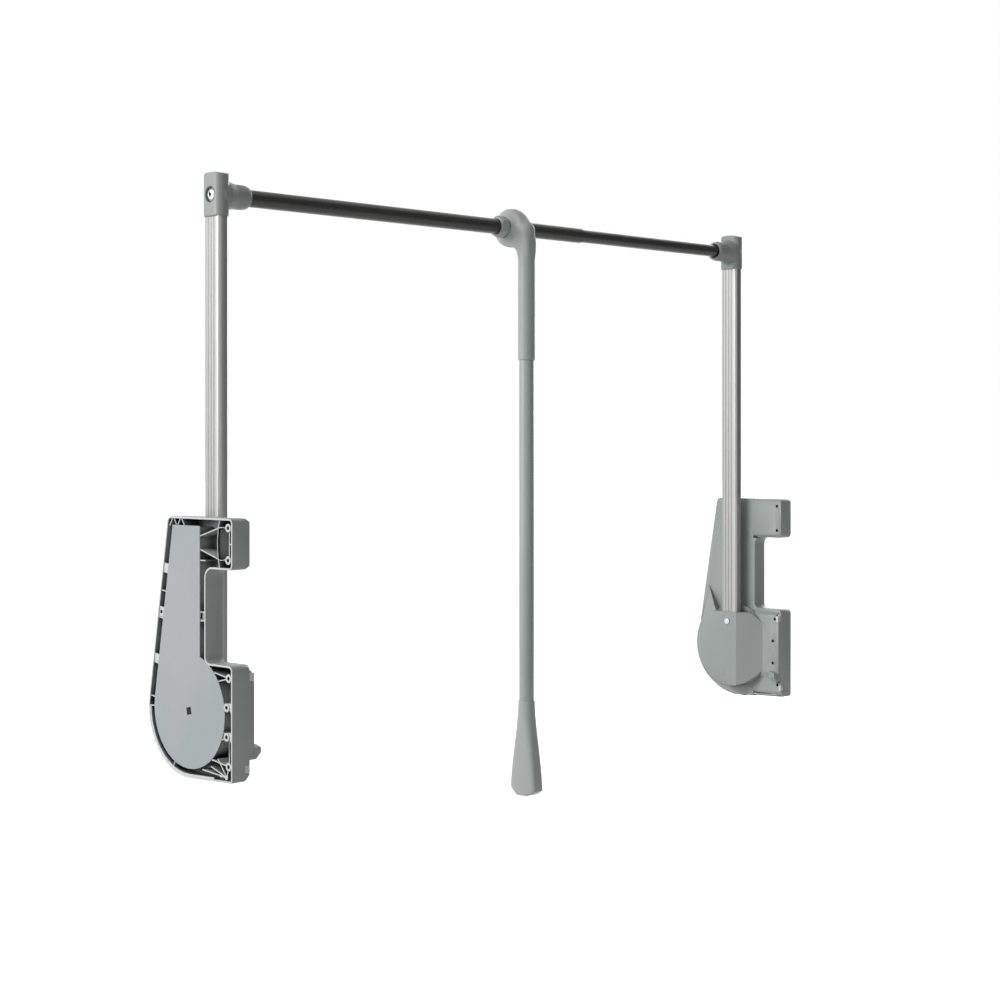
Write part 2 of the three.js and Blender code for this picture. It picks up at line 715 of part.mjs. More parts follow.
function housing() {
  const outline = sidedOutline(housingSides);
  const frontHalf = block(
    [0, -frontReach - overrun, -roundReach - overrun],
    [lugLevel, -lugStep, housingTop + overrun],
  );
  const flange = sill(flangeSection(0, plateLevel - overrun), -frontReach, -flangeBack)
    .intersect(slab(outline, 0, flangeLevel));
  const outside = join([
    slab(outline, 0, plateLevel),
    slab(outline, 0, lugLevel).intersect(frontHalf),
    flange,
  ]);
  const flangeHollow = sill(
    flangeSection(roofThickness, roofInner - overrun),
    shellWall - frontReach,
    -flangeBack,
  ).subtract(drum(wellRadius + shellWall, 0, flangeLevel));
  const hollows = [
    slab(sidedOutline(housingSides, shellWall), -overrun, roofInner),
    flangeHollow,
    drum(wellRadius, plateLevel, flangeLevel + overrun),
  ];
  const shell = cut(outside, hollows);
  const bosses = screwPlaces.map(([y, z]) => drum(bossRadius, 0, lugLevel - overrun, y, z)
    .add(drum(screwHoleRadius + ribThickness, 0, plateLevel + overrun / 2, y, z)));
  const inward = slab(outline, 0, flangeLevel);
  const inner = join([...bosses, ...channelRibs(), ...lugRibs(), ...chamber(), rimBand()]).intersect(inward);
  const hubWall = drum(hubRadius + runningGap + chamberWall, gearFront + runningGap, plateLevel);
  const padSeat = block(
    [lugLevel, -frontReach - overrun, padBottom - seatGap],
    [flangeLevel + overrun, padWidth + seatGap - frontReach, flangeTop + 2 * flangeTopSlope],
  );
  const footPadSeat = block(
    [lugLevel - footPadDepth, -frontReach - overrun, footPadBottom - seatGap],
    [flangeLevel, padWidth + seatGap - frontReach, footPadTop + seatGap],
  );
  const stopSeat = block(
    [roofInner, -frontReach + stopFrontGap, stopBottom],
    [flangeLevel, stopWidth - frontReach, flangeBottom + overrun],
  );
  return cut(join([shell, inner, rearRaisedPart(), hubWall, stopSeat]), [
    drum(hubRadius + runningGap, 0, flangeLevel),
    slab(keyhole(-seatGap), -overrun, chamberRim),
    padSeat,
    footPadSeat,
    cornerCut(housingTop, -1, lugChamfer, lugChamfer),
    cornerCut(upperLugBottom, 1, lugChamfer, lugChamfer),
    cornerCut(-roundReach + ribThickness, 1, footChamfer, footChamfer - ribThickness),
    ...screwPlaces.map(([y, z]) => drum(screwHoleRadius, -overrun, flangeLevel + overrun, y, z)),
  ]);
}

// Outline of a square about the pivot, turned as the axle's end is
function axleSquareOutline(width) {
  return [0, 1, 2, 3].map((corner) => new THREE.Vector2(
    ...polar(Math.PI / 4 + corner * Math.PI / 2 - axleSquareTurn, width * Math.SQRT1_2),
  ));
}

function coverPlate() {
  return slab(keyhole(0), coverSetback, coverFace, [axleSquareOutline(coverSquareHole)]);
}

function hexagon(radius, turn = 0) {
  return [0, 1, 2, 3, 4, 5].map((corner) => new THREE.Vector2(...polar(turn + corner * Math.PI / 3, radius)));
}

const collarTop = gearBack - hubGap; // wall side end of the hub
const bushRadius = axleRadius + runningGap + bushWall;

function pivotAxle() {
  const shaft = turned([
    [0, chamberRim], [axleCollarRadius, chamberRim], [axleCollarRadius, collarTop - hubGap],
    [axleRadius, collarTop - hubGap], [axleRadius, axleEndLevel], [0, axleEndLevel],
  ]);
  return shaft.add(slab(axleSquareOutline(axleSquare), coverSetback + seatGap, chamberRim + overrun));
}

function axleBush() {
  const end = axleEndLevel - ringFromEnd - ringWidth - seatGap;
  return ringDrum(axleRadius + runningGap, bushRadius, collarTop, end);
}

function axleRing() {
  const end = axleEndLevel - ringFromEnd;
  return ringDrum(axleRadius + seatGap / 2, axleRadius + ringWall, end - ringWidth, end);
}

// Involute gear outline, with a tooth centred on the given direction
function gearOutline(teeth, phase) {
  const pitch = gearModule * teeth / 2;
  const base = pitch * Math.cos(pressureAngle);
  const tip = pitch + addendumShare * gearModule;
  const root = pitch - dedendumShare * gearModule;
  const involute = (radius) => {
    const angle = Math.acos(Math.min(1, base / radius));
    return Math.tan(angle) - angle;
  };
  const halfTooth = Math.PI / (2 * teeth) - backlash / (2 * pitch) + involute(pitch);
  const start = Math.max(base, root);
  const flank = [0, 1].map((share) => {
    const radius = start + (tip - start) * share;
    return [radius, halfTooth - involute(radius)];
  });
  const side = start > root ? [[root, halfTooth], ...flank] : flank;
  const tooth = [...side.map(([radius, angle]) => [radius, -angle]), ...[...side].reverse()];
  return Array.from({ length: teeth }, (_, i) => {
    const middle = phase + i * 2 * Math.PI / teeth;
    return tooth.map(([radius, angle]) => new THREE.Vector2(...polar(middle + angle, radius)));
  }).flat();
}

function driveGear() {
  const hole = hexagon(hubHexRadius + seatGap);
  return slab(gearOutline(driveTeeth, 0), gearBack, gearFront, [hole]);
}

function damperPinion() {
  const phase = damperAngle + Math.PI + Math.PI / damperTeeth;
  const pinion = slab(gearOutline(damperTeeth, phase), gearBack, gearFront);
  const bore = drum(damperShaftRadius + runningGap, 0, plateLevel);
  return pinion.subtract(bore).translate(0, damperY, damperZ);
}

function rackOutline() {
  const lean = Math.tan(pressureAngle);
  const tipY = driveRadius - addendumShare * gearModule;
  const rootY = driveRadius + dedendumShare * gearModule;
  const halfPitchTooth = toothPitch / 4 - backlash / 2;
  const halfTip = halfPitchTooth - addendumShare * gearModule * lean;
  const halfRoot = halfPitchTooth + dedendumShare * gearModule * lean;
  const first = Math.ceil((rackBottom + halfRoot) / toothPitch - 0.5);
  const last = Math.floor((rackToothTop - halfRoot) / toothPitch - 0.5);
  const teeth = Array.from({ length: last - first + 1 }, (_, i) => (first + i + 0.5) * toothPitch);
  const edge = teeth.flatMap((middle) => [
    [rootY, middle - halfRoot], [tipY, middle - halfTip],
    [tipY, middle + halfTip], [rootY, middle + halfRoot],
  ]);
  return [
    [rackBackReach, rackBottom], [rootY, rackBottom], ...edge, [rootY, rackTop], [rackBackReach, rackTop],
  ].map(([y, z]) => new THREE.Vector2(y, z));
}

function rack() {
  const bar = slab(rackOutline(), gearBack + rackInset, gearFront - rackInset);
  const head = upright([
    [0, rackTop - overrun], [springHeadRadius - overrun, rackTop - overrun],
    [springHeadRadius, rackTop], [springHeadRadius, springHeadTop],
    [guideRodRadius, springHeadTop], [guideRodRadius, springHeadTop + guideRodLength - overrun],
    [guideRodRadius - overrun / 2, springHeadTop + guideRodLength], [0, springHeadTop + guideRodLength],
  ], springLevel, springReach);
  return bar.add(head);
}

// Helical compression spring as one unbroken tube
const springFrom = springHeadTop + seatGap;
const springTo = springSeatLevel - seatGap;
const curlSteps = 8;
const wireSides = 5;

function springCentre(turns) {
  const rise = springTo - springFrom - 2 * springWireRadius;
  const [y, z] = polar(turns * 2 * Math.PI, springMeanRadius);
  const height = springFrom + springWireRadius + rise * turns / springCurls;
  return new THREE.Vector3(springLevel + y, springReach + z, height);
}

function spring() {
  const rings = springCurls * curlSteps + 1;
  const positions = [];
  for (let i = 0; i < rings; i += 1) {
    const turns = i / curlSteps;
    const centre = springCentre(turns);
    const out = new THREE.Vector3(Math.cos(turns * 2 * Math.PI), Math.sin(turns * 2 * Math.PI), 0);
    for (let side = 0; side < wireSides; side += 1) {
      const [across, up] = polar(side * 2 * Math.PI / wireSides, springWireRadius);
      const point = centre.clone().addScaledVector(out, across);
      positions.push(point.x, point.y, point.z + up);
    }
  }
  const faces = [];
  for (let i = 0; i < rings - 1; i += 1) {
    for (let side = 0; side < wireSides; side += 1) {
      const next = (side + 1) % wireSides;
      const a = i * wireSides + side;
      const b = i * wireSides + next;
      faces.push(a, b, a + wireSides, b, b + wireSides, a + wireSides);
    }
  }
  const last = (rings - 1) * wireSides;
  for (let side = 1; side < wireSides - 1; side += 1) {
    faces.push(0, side + 1, side, last, last + side, last + side + 1);
  }
  const geometry = new THREE.BufferGeometry();
  geometry.setAttribute('position', new THREE.Float32BufferAttribute(positions, 3));
  geometry.setIndex(faces);
  return solid(geometry);
}

// Least clear distance between curls of the spring, measured on points of its centre line
function springGap() {
  const count = springCurls * curlSteps;
  const points = Array.from({ length: count + 1 }, (_, i) => springCentre(i / curlSteps));
  let least = Infinity;
  points.forEach((point, i) => {
    points.slice(i + curlSteps / 2).forEach((other) => {
      least = Math.min(least, point.distanceTo(other));
    });
  });
  return least - 2 * springWireRadius;
}

function springSeat() {
  const low = springSeatLevel;
  const high = springSeatLevel + springSeatHeight;
  const seat = block(
    [chamberRim + seatGap, springReach - springSeatHalf, low],
    [roofInner - seatGap, springReach + springSeatHalf, high],
  );
  const spigot = upright([
    [0, low - spigotHeight], [spigotRadius, low - spigotHeight],
    [spigotRadius, low + overrun], [0, low + overrun],
  ], springLevel, springReach);
  return seat.add(spigot);
}

function damperBody() {
  const seat = roofInner - seatGap;
  const can = drum(damperRadius, gearFront + runningGap, seat);
  const shaft = drum(damperShaftRadius, gearBack, seat);
  const ears = block(
    [seat - damperShaftRadius / 2, -damperRadius - damperEarLength, -damperEarWidth / 2],
    [seat, damperRadius + damperEarLength, damperEarWidth / 2],
  ).rotate([radToDeg(damperAngle + Math.PI / 2), 0, 0]);
  return join([can, shaft, ears]).translate(0, damperY, damperZ);
}

function stopBumper() {
  const top = rackBottom - seatGap;
  return block(
    [gearBack + rackInset, driveRadius, top - bumperHeight],
    [gearFront - rackInset, driveRadius + bumperWidth, top],
  );
}

// Lug that catches the lowered arm: its top lies along the arm's edge at the end of the swing
function armStop() {
  const edge = armWidth / 2 + runningGap;
  const topAt = (y) => (y * Math.cos(swingLimit) * -1 - edge) / Math.sin(swingLimit);
  const front = -frontReach + stopFrontGap;
  const rear = stopWidth - frontReach;
  const outline = [[front, stopBottom], [rear, stopBottom], [rear, topAt(rear)], [front, topAt(front)]];
  const profile = sill([
    [stopBottom, flangeLevel + seatGap], [flangeBottom + stopFootLap, flangeLevel + seatGap],
    [flangeBottom + stopFootLap, stopLevel], [stopBottom + stopBottomSlope, stopLevel],
    [stopBottom, stopLevel - stopBottomSlope],
  ], -frontReach, -flangeBack);
  return slab(outline.map(([y, z]) => new THREE.Vector2(y, z)), flangeLevel + seatGap, stopLevel)
    .intersect(profile);
}

function footPad() {
  return block(
    [lugLevel - footPadDepth + seatGap, stopFrontGap - frontReach, footPadBottom],
    [lugLevel + padRise, padWidth - frontReach, footPadTop],
  );
}

function flangePad() {
  return block(
    [lugLevel + seatGap, stopFrontGap - frontReach, padBottom],
    [flangeLevel + padRise, padWidth - frontReach, padTop],
  );
}

// Section of the boot's raised part as [Y, level]
const bootSection = [
  [roundReach, plateLevel], [roundReach, deckLevel], [crestWidth - crestReach, deckLevel],
  [-crestReach, crestLevel], [-slopeFoot, discLevel], [-roundReach, discLevel], [-roundReach, plateLevel],
];

// What the lower facet takes off the deck: it starts on a slanting line below the pivot
function facetCut() {
  const run = facetRearReach + crestReach;
  const turn = Math.atan2(facetFront - facetRear, run);
  return sill([
    [0, deckLevel], [-discRadius, deckLevel - discRadius * Math.tan(facetSlope)],
    [-discRadius, crestLevel + overrun], [0, crestLevel + overrun],
  ], -discRadius, discRadius)
    .rotate([radToDeg(turn), 0, 0])
    .translate(0, -crestReach, -facetFront);
}

function bootRaisedPart() {
  const body = ridge(bootSection, -discRadius, bootTop);
  const front = drum(discRadius, plateLevel + seatGap, crestLevel + overrun).subtract(facetCut());
  const rearDome = turned(domeProfile(0, discRadius, plateLevel + seatGap));
  const split = [[-2 * discRadius, domeSplit], [domeSplit, 2 * discRadius]];
  const [frontHalf, rearHalf] = split.map(([low, top]) => block(
    [0, low, -2 * discRadius],
    [2 * discRadius, top, 2 * discRadius],
  ));
  return body.intersect(front.intersect(frontHalf).add(rearDome.intersect(rearHalf)));
}

function boot() {
  const hub = drum(hubRadius, gearFront + runningGap, plateLevel + overrun);
  const key = slab(hexagon(hubHexRadius), collarTop, gearFront + overrun);
  const disc = drum(discRadius, plateLevel + seatGap, discLevel);
  const socket = upstanding(
    roundedRectangle(armThickness, armWidth, armCorner, -seatGap),
    armInset, 0, armFoot - seatGap, bootTop + overrun,
  );
  return cut(join([hub, key, disc, bootRaisedPart()]), [
    drum(bushRadius + seatGap / 2, 0, axleEndLevel),
    drum(ringPocketRadius, axleEndLevel - ringFromEnd - ringWidth - seatGap, ringPocketLevel),
    socket,
    drum(bootScrewShankRadius + seatGap, armInset, crestLevel + overrun, 0, bootScrewHeight),
  ]);
}

function bootScrew() {
  const seat = deckLevel + seatGap;
  const head = turned([
    [0, seat - bootScrewReach], [bootScrewShankRadius, seat - bootScrewReach], [bootScrewShankRadius, seat],
    [bootScrewHeadRadius, seat], [bootScrewHeadRadius, seat + bootScrewHeadHeight / 2],
    [bootScrewHeadRadius / 2, seat + bootScrewHeadHeight], [0, seat + bootScrewHeadHeight],
  ], 0, bootScrewHeight);
  return head;
}

function armTube() {
  const outer = roundedRectangle(armThickness, armWidth, armCorner);
  const inner = roundedRectangle(armThickness, armWidth, armCorner, armWall);
  const body = upstanding(outer, armInset, 0, armFoot, armTop);
  const bore = upstanding(inner, armInset, 0, armFoot - overrun, armTop + overrun);
  const far = armInset + armThickness;
  const screwHole = drum(bootScrewShankRadius + seatGap, armInset, far, 0, bootScrewHeight);
  const flutes = [-1, 1].flatMap((side) => [-1, 0, 1].map((place) => {
    const level = armInset + side * armThickness / 2;
    const middle = place * flutePitch;
    return block(
      [level - fluteDepth, middle - fluteWidth / 2, armFoot - overrun],
      [level + fluteDepth, middle + fluteWidth / 2, armTop + overrun],
    );
  }));
  return cut(body, [bore, screwHole, ...flutes]);
}

const socketBore = outerRailRadius + railSocketGap;

function topConnector() {
  const crown = connectorRise;
  const half = connectorWidth / 2;
  const section = roundedRectangle(connectorThickness, connectorWidth, connectorCorner);
  const body = upstanding(section, armInset, 0, -connectorDrop, crown);
  const crownSteps = 8;
  const cap = slab([
    ...[[-half - overrun, -connectorDrop - overrun], [half + overrun, -connectorDrop - overrun]]
      .map(([y, z]) => new THREE.Vector2(y, z)),
    ...Array.from({ length: crownSteps + 1 }, (_, step) => {
      const share = 1 - 2 * step / crownSteps;
      return new THREE.Vector2((half + overrun) * share, crown - crownDrop * Math.abs(share) ** crownPower);
    }),
  ], 0, 2 * armInset);
  const end = armInset + bossEndReach;
  const socket = turned([
    [0, armInset], [socketShoulderRadius, armInset],
    [socketShoulderRadius, armInset + connectorThickness / 2],
    [socketRadius, armInset + shoulderEndReach], [socketRadius, end - socketTaper],
    [(2 * socketRadius + socketLipRadius) / 3, end - socketTaper / 3], [socketLipRadius, end], [0, end],
  ]);
  const tubeSocket = upstanding(
    roundedRectangle(armThickness, armWidth, armCorner, -seatGap),
    armInset, 0, -connectorDrop - overrun, armTop + seatGap - barHeight,
  );
  return cut(body.intersect(cap).add(socket), [
    tubeSocket,
    drum(socketBore, railStart, end + overrun),
    drum(recessRadius, 0, connectorOutside + recessDepth),
    drum(connectorScrewShankRadius + seatGap, 0, railStart + overrun),
  ]).translate(0, 0, barHeight);
}

function connectorScrew() {
  const seat = connectorOutside + recessDepth - seatGap;
  const end = railStart + plugLength / 2;
  const dome = screwDomeShares.map(([across, down]) => [
    across * connectorScrewHeadRadius,
    seat - connectorScrewHeadHeight * (1 - down),
  ]);
  const shape = turned([
    ...dome, [connectorScrewHeadRadius, seat],
    [connectorScrewShankRadius, seat], [connectorScrewShankRadius, end], [0, end],
  ]);
  const key = slab(hexagon(hexKeyRadius), 0, seat - connectorScrewHeadHeight + hexKeyDepth);
  return shape.subtract(key).translate(0, 0, barHeight);
}

function barPlug(bore) {
  return ringDrum(
    connectorScrewShankRadius + seatGap, bore - seatGap, railStart + seatGap, railStart + plugLength,
  ).translate(0, 0, barHeight);
}

function outerRail() {
  const bore = outerRailRadius - railWall;
  return ringDrum(bore, outerRailRadius, railStart + seatGap, outerRailEnd, 0, barHeight);
}

// Drawn from the right wall, as everything on that side is
function innerRail() {
  const end = wallToWall - innerRailStart;
  return ringDrum(innerRailRadius - railWall, innerRailRadius, railStart + seatGap, end, 0, barHeight);
}

const headBore = outerRailRadius + runningGap + collarWall + runningGap;

function headOutline() {
  const front = -stemReach - sleeveRadius;
  const back = sleeveRadius - stemReach;
  const top = arc(0, 0, headRadius, -Math.PI / 2, Math.PI / 2);
  const brow = new THREE.CubicBezierCurve(
    ...browShares.map(([across, up]) => new THREE.Vector2(front * across, headRadius * up)),
  ).getPoints(7).slice(1);
  const web = new THREE.QuadraticBezierCurve(
    new THREE.Vector2(back, neckBottom + webFillet / 4),
    new THREE.Vector2(back, -headRadius),
    new THREE.Vector2(0, -headRadius),
  ).getPoints(4).slice(0, -1);
  return [...top, ...brow, new THREE.Vector2(front, neckBottom), new THREE.Vector2(back, neckBottom), ...web];
}

function handleHead() {
  const shape = new THREE.Shape(headOutline());
  const geometry = new THREE.ExtrudeGeometry(shape, {
    depth: headWidth - 2 * headBevel,
    bevelThickness: headBevel,
    bevelSize: headBevel,
    bevelOffset: -headBevel,
    bevelSegments: 2,
  });
  const cheeks = sill([
    [headRadius, -headWidth / 2], [0, -headWidth / 2], [neckBottom, headBevel / 2 - sleeveRadius],
    [neckBottom, sleeveRadius - headBevel / 2], [0, headWidth / 2], [headRadius, headWidth / 2],
  ], -2 * stemReach, 2 * stemReach);
  const loop = solid(geometry.applyMatrix4(acrossWall).translate(headBevel - headWidth / 2, 0, 0))
    .intersect(cheeks);
  const sleeve = upright([
    [0, sleeveEnd], [sleeveRadius, sleeveEnd], [sleeveRadius, 0], [0, sleeveRadius],
  ], 0, -stemReach);
  const hub = turned([
    [0, 0], [hubRootRadius, 0], [hubRootRadius, headBevel / 4 - headWidth / 2],
    [hubLipRadius, -headWidth / 2 - hubHeight], [0, -headWidth / 2 - hubHeight],
  ]);
  const bore = upright([
    [0, sleeveEnd - overrun], [stemRadius + seatGap, sleeveEnd - overrun],
    [stemRadius + seatGap, sleeveEnd + stemLap], [0, sleeveEnd + stemLap],
  ], 0, -stemReach);
  return cut(join([loop, sleeve, hub]), [drum(headBore, -2 * headWidth, headWidth), bore])
    .translate(handlePlace, 0, barHeight);
}

// Collar fixed on the rail: a sleeve in the head's bore that ends in a six sided nut
function handleCollar() {
  const nutStart = -headWidth / 2 - hubHeight - runningGap;
  const nutEnd = nutStart - nutLength;
  const sleeve = drum(headBore - runningGap, nutStart - overrun, headWidth / 2 - collarSetback);
  const tip = turned([
    [0, nutEnd], [nutTipRadius, nutEnd], [nutRadius, nutEnd + nutTipLength],
    [nutRadius, nutStart], [0, nutStart],
  ]);
  const nut = slab(hexagon(nutRadius, Math.PI / 6), nutEnd, nutStart).intersect(tip);
  return sleeve.add(nut).subtract(drum(outerRailRadius + runningGap, -2 * headWidth, headWidth))
    .translate(handlePlace, 0, barHeight);
}

function handleTube() {
  const low = gripTop - stemLap;
  const high = sleeveEnd + stemLap - seatGap;
  return upright([
    [stemRadius - stemWall, low], [stemRadius, low], [stemRadius, high], [stemRadius - stemWall, high],
  ], handlePlace, -stemReach).translate(0, 0, barHeight);
}

// Grip that swells from a round neck to a flat oblong foot with a blunt pointed end
function handleGrip() {
  const rings = 7;
  const around = 24;
  const positions = [];
  for (let i = 0; i <= rings; i += 1) {
    const share = i / rings;
    const swell = share * share * (3 - 2 * share);
    const power = 2 + (gripFootPower - 2) * swell;
    const halfX = gripNeckRadius + (gripThickness / 2 - gripNeckRadius) * swell;
    const widening = gripEarlySwellShare * share + (1 - gripEarlySwellShare) * swell;
    const halfY = gripNeckRadius + (gripWidth / 2 - gripNeckRadius) * widening;
    for (let k = 0; k < around; k += 1) {
      const angle = k * 2 * Math.PI / around;
      const [c, s] = [Math.cos(angle), Math.sin(angle)];
      positions.push(
        halfX * Math.sign(c) * Math.abs(c) ** (2 / power),
        halfY * Math.sign(s) * Math.abs(s) ** (2 / power),
        gripTop + (gripBottom - gripTop) * share,
      );
    }
  }
  const faces = [];
  for (let i = 0; i < rings; i += 1) {
    for (let k = 0; k < around; k += 1) {
      const a = i * around + k;
      const b = i * around + (k + 1) % around;
      faces.push(a, a + around, b, b, a + around, b + around);
    }
  }
  for (let k = 1; k < around - 1; k += 1) {
    faces.push(0, k, k + 1, rings * around, rings * around + k + 1, rings * around + k);
  }
  const geometry = new THREE.BufferGeometry();
  geometry.setAttribute('position', new THREE.Float32BufferAttribute(positions, 3));
  geometry.setIndex(faces);
  const half = gripWidth / 2 + overrun;
  const flat = gripWidth * gripEndShare / 2;
  const blunt = slab([
    [-flat, gripBottom], [flat, gripBottom], [half, gripBottom + gripBackDrop],
    [half, gripTop + overrun], [-half, gripTop + overrun], [-half, gripBottom + gripEndDrop],
  ].map(([y, z]) => new THREE.Vector2(y, z)), -half, half);
  const bore = upright([
    [0, gripTop - stemLap - seatGap], [stemRadius + seatGap, gripTop - stemLap - seatGap],
    [stemRadius + seatGap, gripTop + overrun], [0, gripTop + overrun],
  ], 0, 0);
  return solid(geometry).intersect(blunt).subtract(bore).translate(handlePlace, -stemReach, barHeight);
}

// Each side's pieces as [name, body, finish]
const sidePieces = [
  ['housing', housing(), 'greyPlastic'],
  ['cover_plate', coverPlate(), 'coverSteel'],
  ['pivot_axle', pivotAxle(), 'darkSteel'],
  ['axle_bush', axleBush(), 'palePlastic'],
  ['axle_ring', axleRing(), 'darkSteel'],
  ['drive_gear', driveGear(), 'steel'],
  ['rack', rack(), 'steel'],
  ['spring', spring(), 'steel'],
  ['spring_seat', springSeat(), 'palePlastic'],
  ['damper_body', damperBody(), 'rubber'],
  ['damper_pinion', damperPinion(), 'whitePlastic'],
  ['stop_bumper', stopBumper(), 'rubber'],
  ['arm_stop', armStop(), 'greyPlastic'],
  ['flange_pad', flangePad(), 'whitePlastic'],
  ['foot_pad', footPad(), 'whitePlastic'],
  ['boot', boot(), 'greyPlastic'],
  ['boot_screw', bootScrew(), 'chrome'],
  ['arm_tube', armTube(), 'brightAluminium'],
  ['top_connector', topConnector(), 'greyPlastic'],
  ['connector_screw', connectorScrew(), 'chrome'],
];

function pieceMesh(name, body, finish) {
  const mesh = new THREE.Mesh(geometryOf(body), new THREE.MeshStandardMaterial(finishes[finish]));
  mesh.name = name;
  return mesh;
}

function side(prefix, ownPieces) {
  const group = new THREE.Group();
  const pieces = [...sidePieces, ...ownPieces];
  group.add(...pieces.map(([name, body, finish]) => pieceMesh(`${prefix}_${name}`, body, finish)));
  return group;
}

const leftSide = side('left', [['bar_plug', barPlug(outerRailRadius - railWall), 'whitePlastic']]);
leftSide.add(
  pieceMesh('outer_rail', outerRail(), 'darkRail'),
  pieceMesh('handle_collar', handleCollar(), 'greyPlastic'),
  pieceMesh('handle_head', handleHead(), 'handlePlastic'),
  pieceMesh('handle_tube', handleTube(), 'handlePlastic'),
  pieceMesh('handle_grip', handleGrip(), 'handlePlastic'),
);

const rightSide = side('right', [['bar_plug', barPlug(innerRailRadius - railWall), 'whitePlastic']]);
rightSide.add(pieceMesh('inner_rail', innerRail(), 'darkRail'));
rightSide.scale.x = -1;
rightSide.position.x = wallToWall;

console.log(`least gap between the curls of a spring: ${springGap().toFixed(2)} mm`);

// The origin lies on the left housing's wall side rim, in the middle of its front wall, level with the pivot
const lift = new THREE.Group();
lift.position.y = frontReach - shellWall / 2;
lift.add(leftSide, rightSide);

export default lift;
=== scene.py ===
# Looks of a pull down closet rod: a wardrobe lift with two sprung housings, two arms, a rail and a
# pull rod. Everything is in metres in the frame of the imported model: X along the rail, the front
# at -Y, Z up.
import json
import math

import bmesh
import bpy
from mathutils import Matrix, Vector


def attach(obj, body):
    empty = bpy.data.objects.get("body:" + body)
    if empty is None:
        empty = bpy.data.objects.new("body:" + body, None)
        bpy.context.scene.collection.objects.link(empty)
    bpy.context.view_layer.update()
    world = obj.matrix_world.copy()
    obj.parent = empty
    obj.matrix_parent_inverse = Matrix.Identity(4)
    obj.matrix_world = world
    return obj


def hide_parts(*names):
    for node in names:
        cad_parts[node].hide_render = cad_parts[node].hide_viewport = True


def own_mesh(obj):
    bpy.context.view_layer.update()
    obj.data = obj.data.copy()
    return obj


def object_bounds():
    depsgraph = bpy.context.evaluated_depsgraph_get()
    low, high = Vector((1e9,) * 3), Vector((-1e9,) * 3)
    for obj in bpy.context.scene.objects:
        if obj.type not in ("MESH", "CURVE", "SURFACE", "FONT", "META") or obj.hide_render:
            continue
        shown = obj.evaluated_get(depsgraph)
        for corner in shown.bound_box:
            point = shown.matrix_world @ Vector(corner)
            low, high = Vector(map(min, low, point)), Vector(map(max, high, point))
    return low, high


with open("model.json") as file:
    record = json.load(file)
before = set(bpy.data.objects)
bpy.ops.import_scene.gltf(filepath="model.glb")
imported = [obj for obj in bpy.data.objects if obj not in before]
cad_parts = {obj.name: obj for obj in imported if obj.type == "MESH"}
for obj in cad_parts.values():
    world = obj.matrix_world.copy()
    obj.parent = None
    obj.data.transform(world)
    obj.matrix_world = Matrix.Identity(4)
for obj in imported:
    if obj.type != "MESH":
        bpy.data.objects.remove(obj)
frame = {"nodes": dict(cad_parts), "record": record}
cad_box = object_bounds()

MM = 0.001
SIDES = ("left", "right")

BEHAVIOUR = frame["record"]["behaviour"]
JOINTS = {joint["name"]: joint for joint in BEHAVIOUR["joints"]}
BODY_OF = {node: body for body, nodes in BEHAVIOUR["bodies"].items() for node in nodes}
SLOT_OF = {entry["node"]: entry["material_slot"] for entry in frame["record"]["subparts"]}


def srgb(code):
    """Linear colour of a six figure hexadecimal screen colour."""
    values = [int(code[i:i + 2], 16) / 255 for i in (0, 2, 4)]
    return tuple(v / 12.92 if v <= 0.04045 else ((v + 0.055) / 1.055) ** 2.4 for v in values)


def grey(level):
    """Linear grey with full opacity."""
    return (level, level, level, 1)


# Materials

# Painted shade in hollows of a surface: how far off their walls still count, and the openness at
# which the painted shade is full and at which it has gone
PAINTED_SHADE_IN_RECESSES = (16 * MM, 0.25, 0.85)
PAINTED_SHADE_IN_GROOVES = (1.6 * MM, 0.74, 0.99)
PAINTED_SHADE_IN_SOCKETS = (4 * MM, 0.74, 0.98)

RIM_DEPTH = 3.4 * MM  # rib edges lie up to this far behind the wall plane
# How squarely a face looks at the wall where the painted rim highlight starts and where it is full
RIM_HIGHLIGHT_FACING = (0.4, 0.8)

PLASTIC_IOR = 1.46
OCCLUSION_SAMPLES = 12
MIX_FIRST, MIX_SECOND, MIX_RESULT = 6, 7, 2  # the colour sockets of a Mix node

LINES_ALONG_RAIL = (0.012, 1, 1)
LINES_ALONG_ARM = (1, 1, 0.012)
LINES_IN_DEPTH = (1, 0.05, 1)
LINES_UPRIGHT = (1, 1, 0.06)


class Nodes:
    """Adds nodes to a tree and links them."""

    def __init__(self, tree):
        self.tree = tree

    def node(self, kind, **settings):
        made = self.tree.nodes.new("ShaderNode" + kind)
        for name, value in settings.items():
            setattr(made, name, value)
        return made

    def link(self, source, target):
        self.tree.links.new(source, target)

    def calculated(self, operation, *sources):
        """Result of a Math node."""
        made = self.node("Math", operation=operation)
        for source, socket in zip(sources, made.inputs):
            self.link(source, socket)
        return made.outputs[0]

    def spread(self, source, low, high, start=0.3, end=0.7):
        """Runs from low to high while the source runs from start to end, and is level outside."""
        ranged = self.node("MapRange")
        ends = {"From Min": start, "From Max": end, "To Min": low, "To Max": high}
        for socket, value in ends.items():
            ranged.inputs[socket].default_value = value
        self.link(source, ranged.inputs["Value"])
        return ranged.outputs["Result"]

    def seen_directly(self):
        """1 for camera, mirror and glass rays, 0 for the light that falls on things."""
        path = self.node("LightPath").outputs
        mirrored = self.calculated("MAXIMUM", path["Is Camera Ray"], path["Is Glossy Ray"])
        return self.calculated("MAXIMUM", mirrored, path["Is Transmission Ray"])


